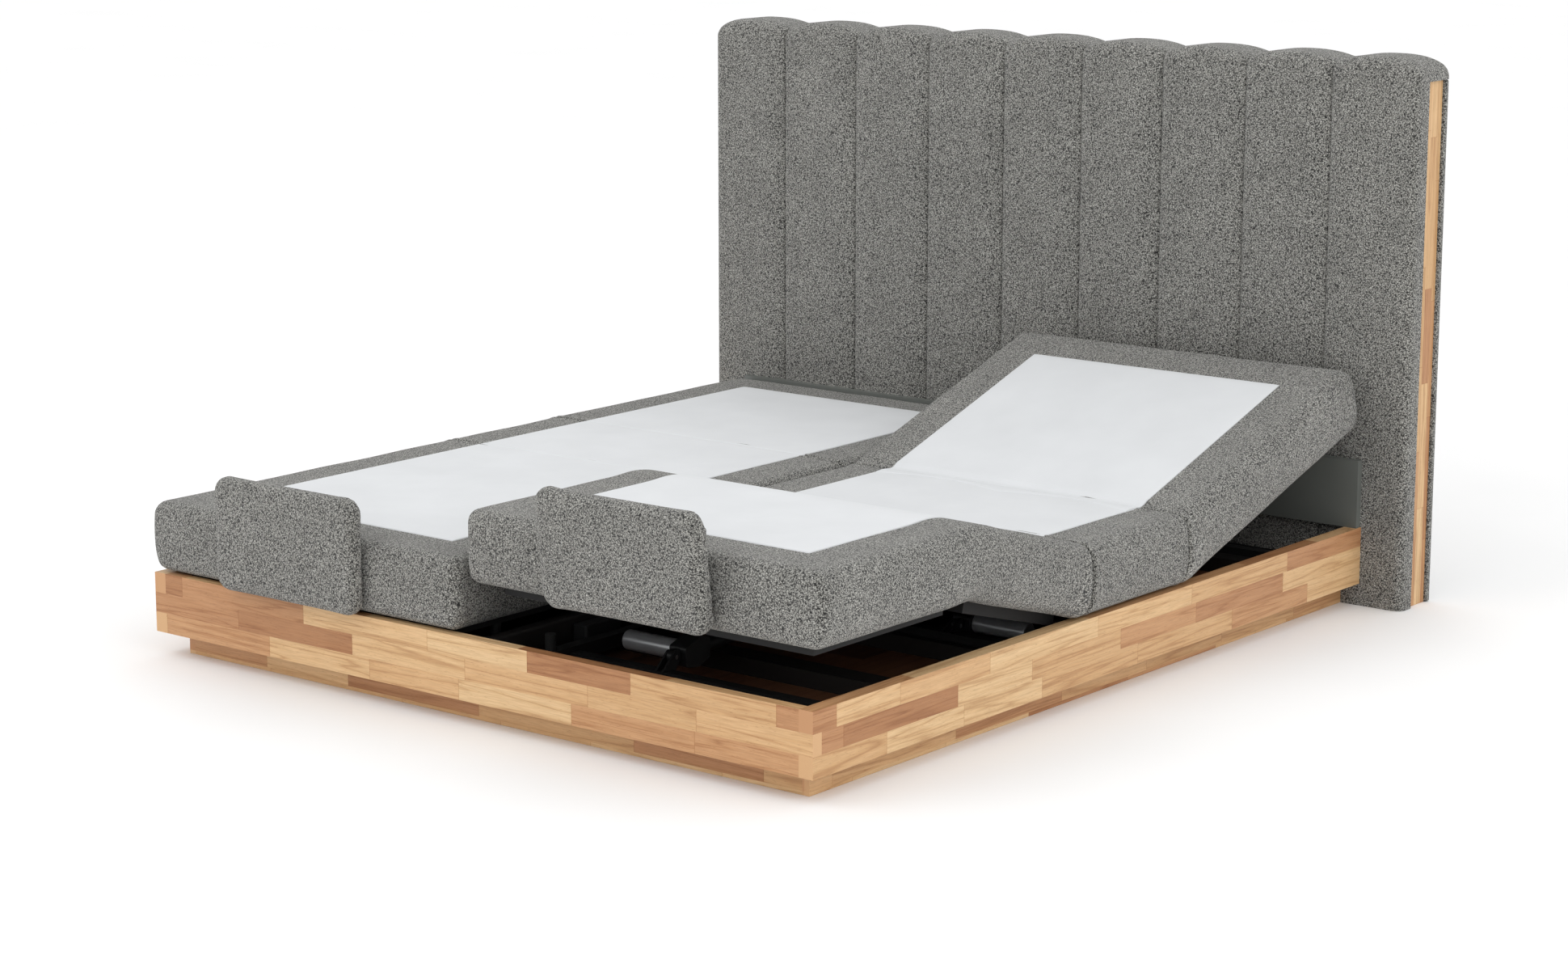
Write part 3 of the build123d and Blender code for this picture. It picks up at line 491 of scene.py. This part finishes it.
def crease(obj, side):
    """The loose fold of the deck cloth before the raised back: two scallops that meet in the middle."""
    reach = 0.13
    depth, scallop_depth = 0.058, 0.036
    points = coords(obj)
    across = (points[:, 0] - CENTRE[side]) / DECK_HALF
    curve = BACK[1] - depth + scallop_depth * np.abs(np.sin(np.pi * across))
    base = BACK[1] - FOLD_LINE
    distance = points[:, 1] - base
    before = np.clip(1 - np.abs(distance) / reach, 0, 1)
    behind = np.clip((BACK[1] - points[:, 1]) / FOLD_LINE, 0, 1)
    points[:, 1] += (curve - base) * np.where(distance > 0, behind, before)
    ridge = 0.0022 * np.exp(-((distance - 0.016) / 0.014) ** 2)
    groove = 0.0026 * np.exp(-(distance / 0.0016) ** 2)
    points[:, 2] += (ridge - groove) * (points[:, 2] > COVER_HIGH)
    set_coords(obj, points)


def make_sections(side):
    """The grey cover and the white deck of each of a box's four sections."""
    spans = {"leg": (BOX_LOW.y, THIGH_JOIN), "thigh": (THIGH_JOIN, HIP[1]), "seat": (HIP[1], BACK[1]),
             "back": (BACK[1], BACK_END)}
    bend_rows = rows_between(HIP[1] - 0.05, HIP[1], 0.003) + rows_between(BACK[1], BACK[1] + 0.05, 0.003)
    fold_steps = (-0.005, -0.003, -0.0015, 0, 0.0015, 0.003, 0.005, 0.009, 0.014)
    fold_rows = [BACK[1] - FOLD_LINE + step for step in fold_steps]
    for kind, (first, last) in spans.items():
        cover = slab(f"{side}_{kind}_cover", side, (first, last), COVER_ENDS[kind], cover_shape(side),
                     MATERIALS["boucle"], bend_rows)
        set_coords(cover, waves(coords(cover), 0.0006))
        settle(cover, side, kind)
        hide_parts(f"{side}_{kind}_box")
        first = DECK_LOW.y if kind == "leg" else first
        last = DECK_END if kind == "back" else last
        deck = slab(f"{side}_{kind}_deck", side, (first, last), DECK_ENDS[kind], DECK_SHAPE,
                    MATERIALS["white"], bend_rows + fold_rows)
        if kind == "seat" and side == "right":
            crease(deck, side)
        settle(deck, side, kind)
        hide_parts(f"{side}_{kind}_top")


def evaluated(obj, name):
    """obj's mesh with its modifiers applied, as a new mesh."""
    graph = bpy.context.evaluated_depsgraph_get()
    graph.update()
    mesh = bpy.data.meshes.new_from_object(obj.evaluated_get(graph))
    mesh.name = name
    return mesh


def shrunk_skin(source, name, margin):
    """An even, rounded mesh of a solid, smaller than it by margin, on a working object."""
    work = bpy.data.objects.new("pad_work", source.data.copy())
    bpy.context.scene.collection.objects.link(work)
    points = coords(work)
    low, high = points.min(0), points.max(0)
    middle, size = (low + high) / 2, high - low
    set_coords(work, middle + (points - middle) * (size - np.array(margin)) / size)
    remesh = work.modifiers.new("remesh", "REMESH")
    remesh.mode = "VOXEL"
    remesh.voxel_size = 0.0055
    smooth = work.modifiers.new("smooth", "SMOOTH")
    smooth.factor = 0.5
    smooth.iterations = 6
    mesh = evaluated(work, name)
    work.modifiers.clear()
    work.data = mesh
    return work


def swelled_points(work, most, pressure=4.0, steps=20):
    """Where a short cloth simulation with pressure inside moves the points, by no more than most."""
    scene = bpy.context.scene
    before = coords(work)
    cloth = work.modifiers.new("cloth", "CLOTH")
    cloth.settings.use_pressure = True
    cloth.settings.uniform_pressure_force = pressure
    cloth.settings.effector_weights.gravity = 0.0
    cloth.settings.quality = 5
    for step in range(1, steps + 1):
        scene.frame_set(step)
    swelled = evaluated(work, "pad_swelled")
    work.modifiers.clear()
    scene.frame_set(1)
    move = np.array([v.co for v in swelled.vertices], float) - before
    length = np.linalg.norm(move, axis=1, keepdims=True)
    return before + move * np.minimum(1, most / np.maximum(length, 1e-9))


def stop_pad(side):
    """The padded stop that holds the mattress at the foot, swelled a little from its solid."""
    name = f"{side}_stop_pad"
    work = shrunk_skin(nodes[name], name + "_soft", (0.006, 0.005, 0.006))
    set_coords(work, swelled_points(work, 0.006))
    subdivision = work.modifiers.new("fine", "SUBSURF")
    subdivision.levels = subdivision.render_levels = 1
    mesh = evaluated(work, name + "_mesh")
    bpy.data.objects.remove(work)
    mesh.materials.clear()
    pad = finish_mesh(name + "_soft", mesh, MATERIALS["boucle"], 180)
    keep_flat(pad)
    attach(pad, f"{side}_leg")
    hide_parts(name)


# ---- headboard ----

def channel_places():
    """X places across the cushion, close together at each sewn channel's seam."""
    wide = CUSHION_HIGH.x
    end_clear = 0.024
    near_seam = (0.0, 0.0015, 0.004, 0.008, 0.014, 0.022, 0.034)
    shares_between = (0.2, 0.28, 0.36, 0.43, 0.5, 0.57, 0.64, 0.72, 0.8)
    places = set()
    for k in range(CHANNELS + 1):
        seam = -wide + k * CHANNEL_PITCH
        for d in near_seam:
            places |= {round(seam + d, 5), round(seam - d, 5)}
        places |= {round(seam + CHANNEL_PITCH * share, 5) for share in shares_between}
    return sorted(x for x in places if abs(x) <= wide - end_clear)


def cushion_section(x, inset):
    """(y, z) outline of the headboard's cushion at x: the front pad with the roll that goes over the top."""
    wide = CUSHION_HIGH.x
    seam_depth, stitch_depth, stitch_from = 0.0085, 0.0035, 0.965
    top_dip = 0.017
    off_middle = abs(((x + wide) / CHANNEL_PITCH) % 1.0 - 0.5) * 2
    in_end_half = abs(x) > wide - CHANNEL_PITCH / 2
    front_in = seam_depth * off_middle ** 5
    front_in += stitch_depth * max(0.0, (off_middle - stitch_from) / (1 - stitch_from))
    dip = top_dip * off_middle ** 2.4
    if in_end_half:
        front_in = dip = 0.0
    low = STRIP_TOP + 0.0005
    crest = CUSHION_HIGH.z + 0.004
    corner_width = CHANNEL_PITCH * 0.46
    corner = max(0.0, abs(x) - (wide - corner_width)) / corner_width
    drop = (crest - low - 0.016) * (1 - math.sqrt(max(0.0, 1 - corner ** 2.2)))
    top = crest - dip - drop - inset * 0.3
    front = CUSHION_LOW.y - 0.003 + front_in + inset
    rear = CUSHION_HIGH.y + 0.001 - inset
    core = CUSHION_LOW.y + 0.048 - 0.0003  # the core's front face
    step_depth, waist = 0.03, 0.6
    r = min(0.034, (top - low) * 0.8)
    points = [(front, z) for z in np.linspace(CUSHION_LOW.z, top - r, 10)]
    points += arc((front + r, top - r), r, 180, 90, 8)[1:]
    points += [(y, top) for y in np.linspace(front + r, rear - r, 6)][1:]
    points += arc((rear - r, top - r), r, 90, 0, 6)[1:]
    points += [(rear, low), (core + step_depth, low), (core, low), (core, waist), (core, CUSHION_LOW.z)]
    return points


def headboard_part(name, replaced, rings):
    """One upholstered part of the headboard, which stands still."""
    part = tube(name, rings, MATERIALS["boucle"], 60)
    keep_flat(part)
    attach(part, "frame")
    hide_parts(replaced)


def headboard():
    wide = CUSHION_HIGH.x
    ends = rounded_end(0.022)
    places = [(-wide + depth, inset) for depth, inset in ends[::-1]] + [(x, 0.0) for x in channel_places()]
    places += [(wide - depth, inset) for depth, inset in ends]
    rings = [[(x, y, z) for y, z in cushion_section(x, inset)] for x, inset in places]
    headboard_part("headboard_cushion_soft", "headboard_cushion", rings)
    shape = dict(half=REAR_HIGH.x - 0.002, low=REAR_LOW.z, high=STRIP_TOP - 0.0005, top_r=0.004, low_r=0.004)
    rows = [(REAR_LOW.y + 0.0003, 0.003), (REAR_LOW.y + 0.004, 0.0)]
    rows += [(REAR_HIGH.y - 0.002 - depth, inset) for depth, inset in rounded_end(0.014)]
    rows += [(REAR_HIGH.y + 0.0015, 0.05), (REAR_HIGH.y + 0.003, 0.12)]  # a low crown
    rings = [[(x, y, z) for x, z in slab_ring(inset=inset, **shape)] for y, inset in rows]
    headboard_part("headboard_rear_soft", "headboard_rear_pad", rings)


# ---- floor, light and camera ----

def floor():
    bpy.ops.mesh.primitive_plane_add(size=60, location=(0, 0, -0.0005))
    plane = bpy.context.object
    plane.name = "floor"
    plane.data.materials.append(floor_paint())


def area_light(name, place, size, power):
    """A rectangular lamp that faces the middle of the bed."""
    light = bpy.data.lights.new(name, "AREA")
    light.shape = "RECTANGLE"
    light.size, light.size_y = size
    light.energy = power
    obj = bpy.data.objects.new(name, light)
    obj.location = place
    obj.rotation_euler = (Vector((0, 0, 0.3)) - Vector(place)).to_track_quat("-Z", "Y").to_euler()
    bpy.context.scene.collection.objects.link(obj)


def light_and_camera():
    scene = bpy.context.scene
    scene.view_settings.view_transform = "Standard"
    world = bpy.data.worlds.new("studio")
    world.use_nodes = True
    background = world.node_tree.nodes["Background"]
    background.inputs["Color"].default_value = (1.0, 1.0, 1.0, 1.0)
    background.inputs["Strength"].default_value = 1.04
    scene.world = world
    area_light("key", (-2.5, -4.5, 5.0), (4.0, 3.0), 52)
    area_light("fill", (5.5, -1.5, 3.6), (4.0, 3.0), 52)
    area_light("low", (1.6, -5.5, 1.1), (3.0, 1.2), 5)
    camera = bpy.data.cameras.new("camera")
    camera.lens = 80.0
    camera.sensor_width = 36.0
    obj = bpy.data.objects.new("camera", camera)
    obj.location = (4.977, -6.2168, 1.994)
    obj.rotation_euler = (math.radians(90 - 11.67), 0.0, math.radians(38.75))
    scene.collection.objects.link(obj)
    scene.camera = obj


paint_nodes()
light_and_camera()
floor()
headboard()
for side in SIDES:
    make_sections(side)
    stop_pad(side)
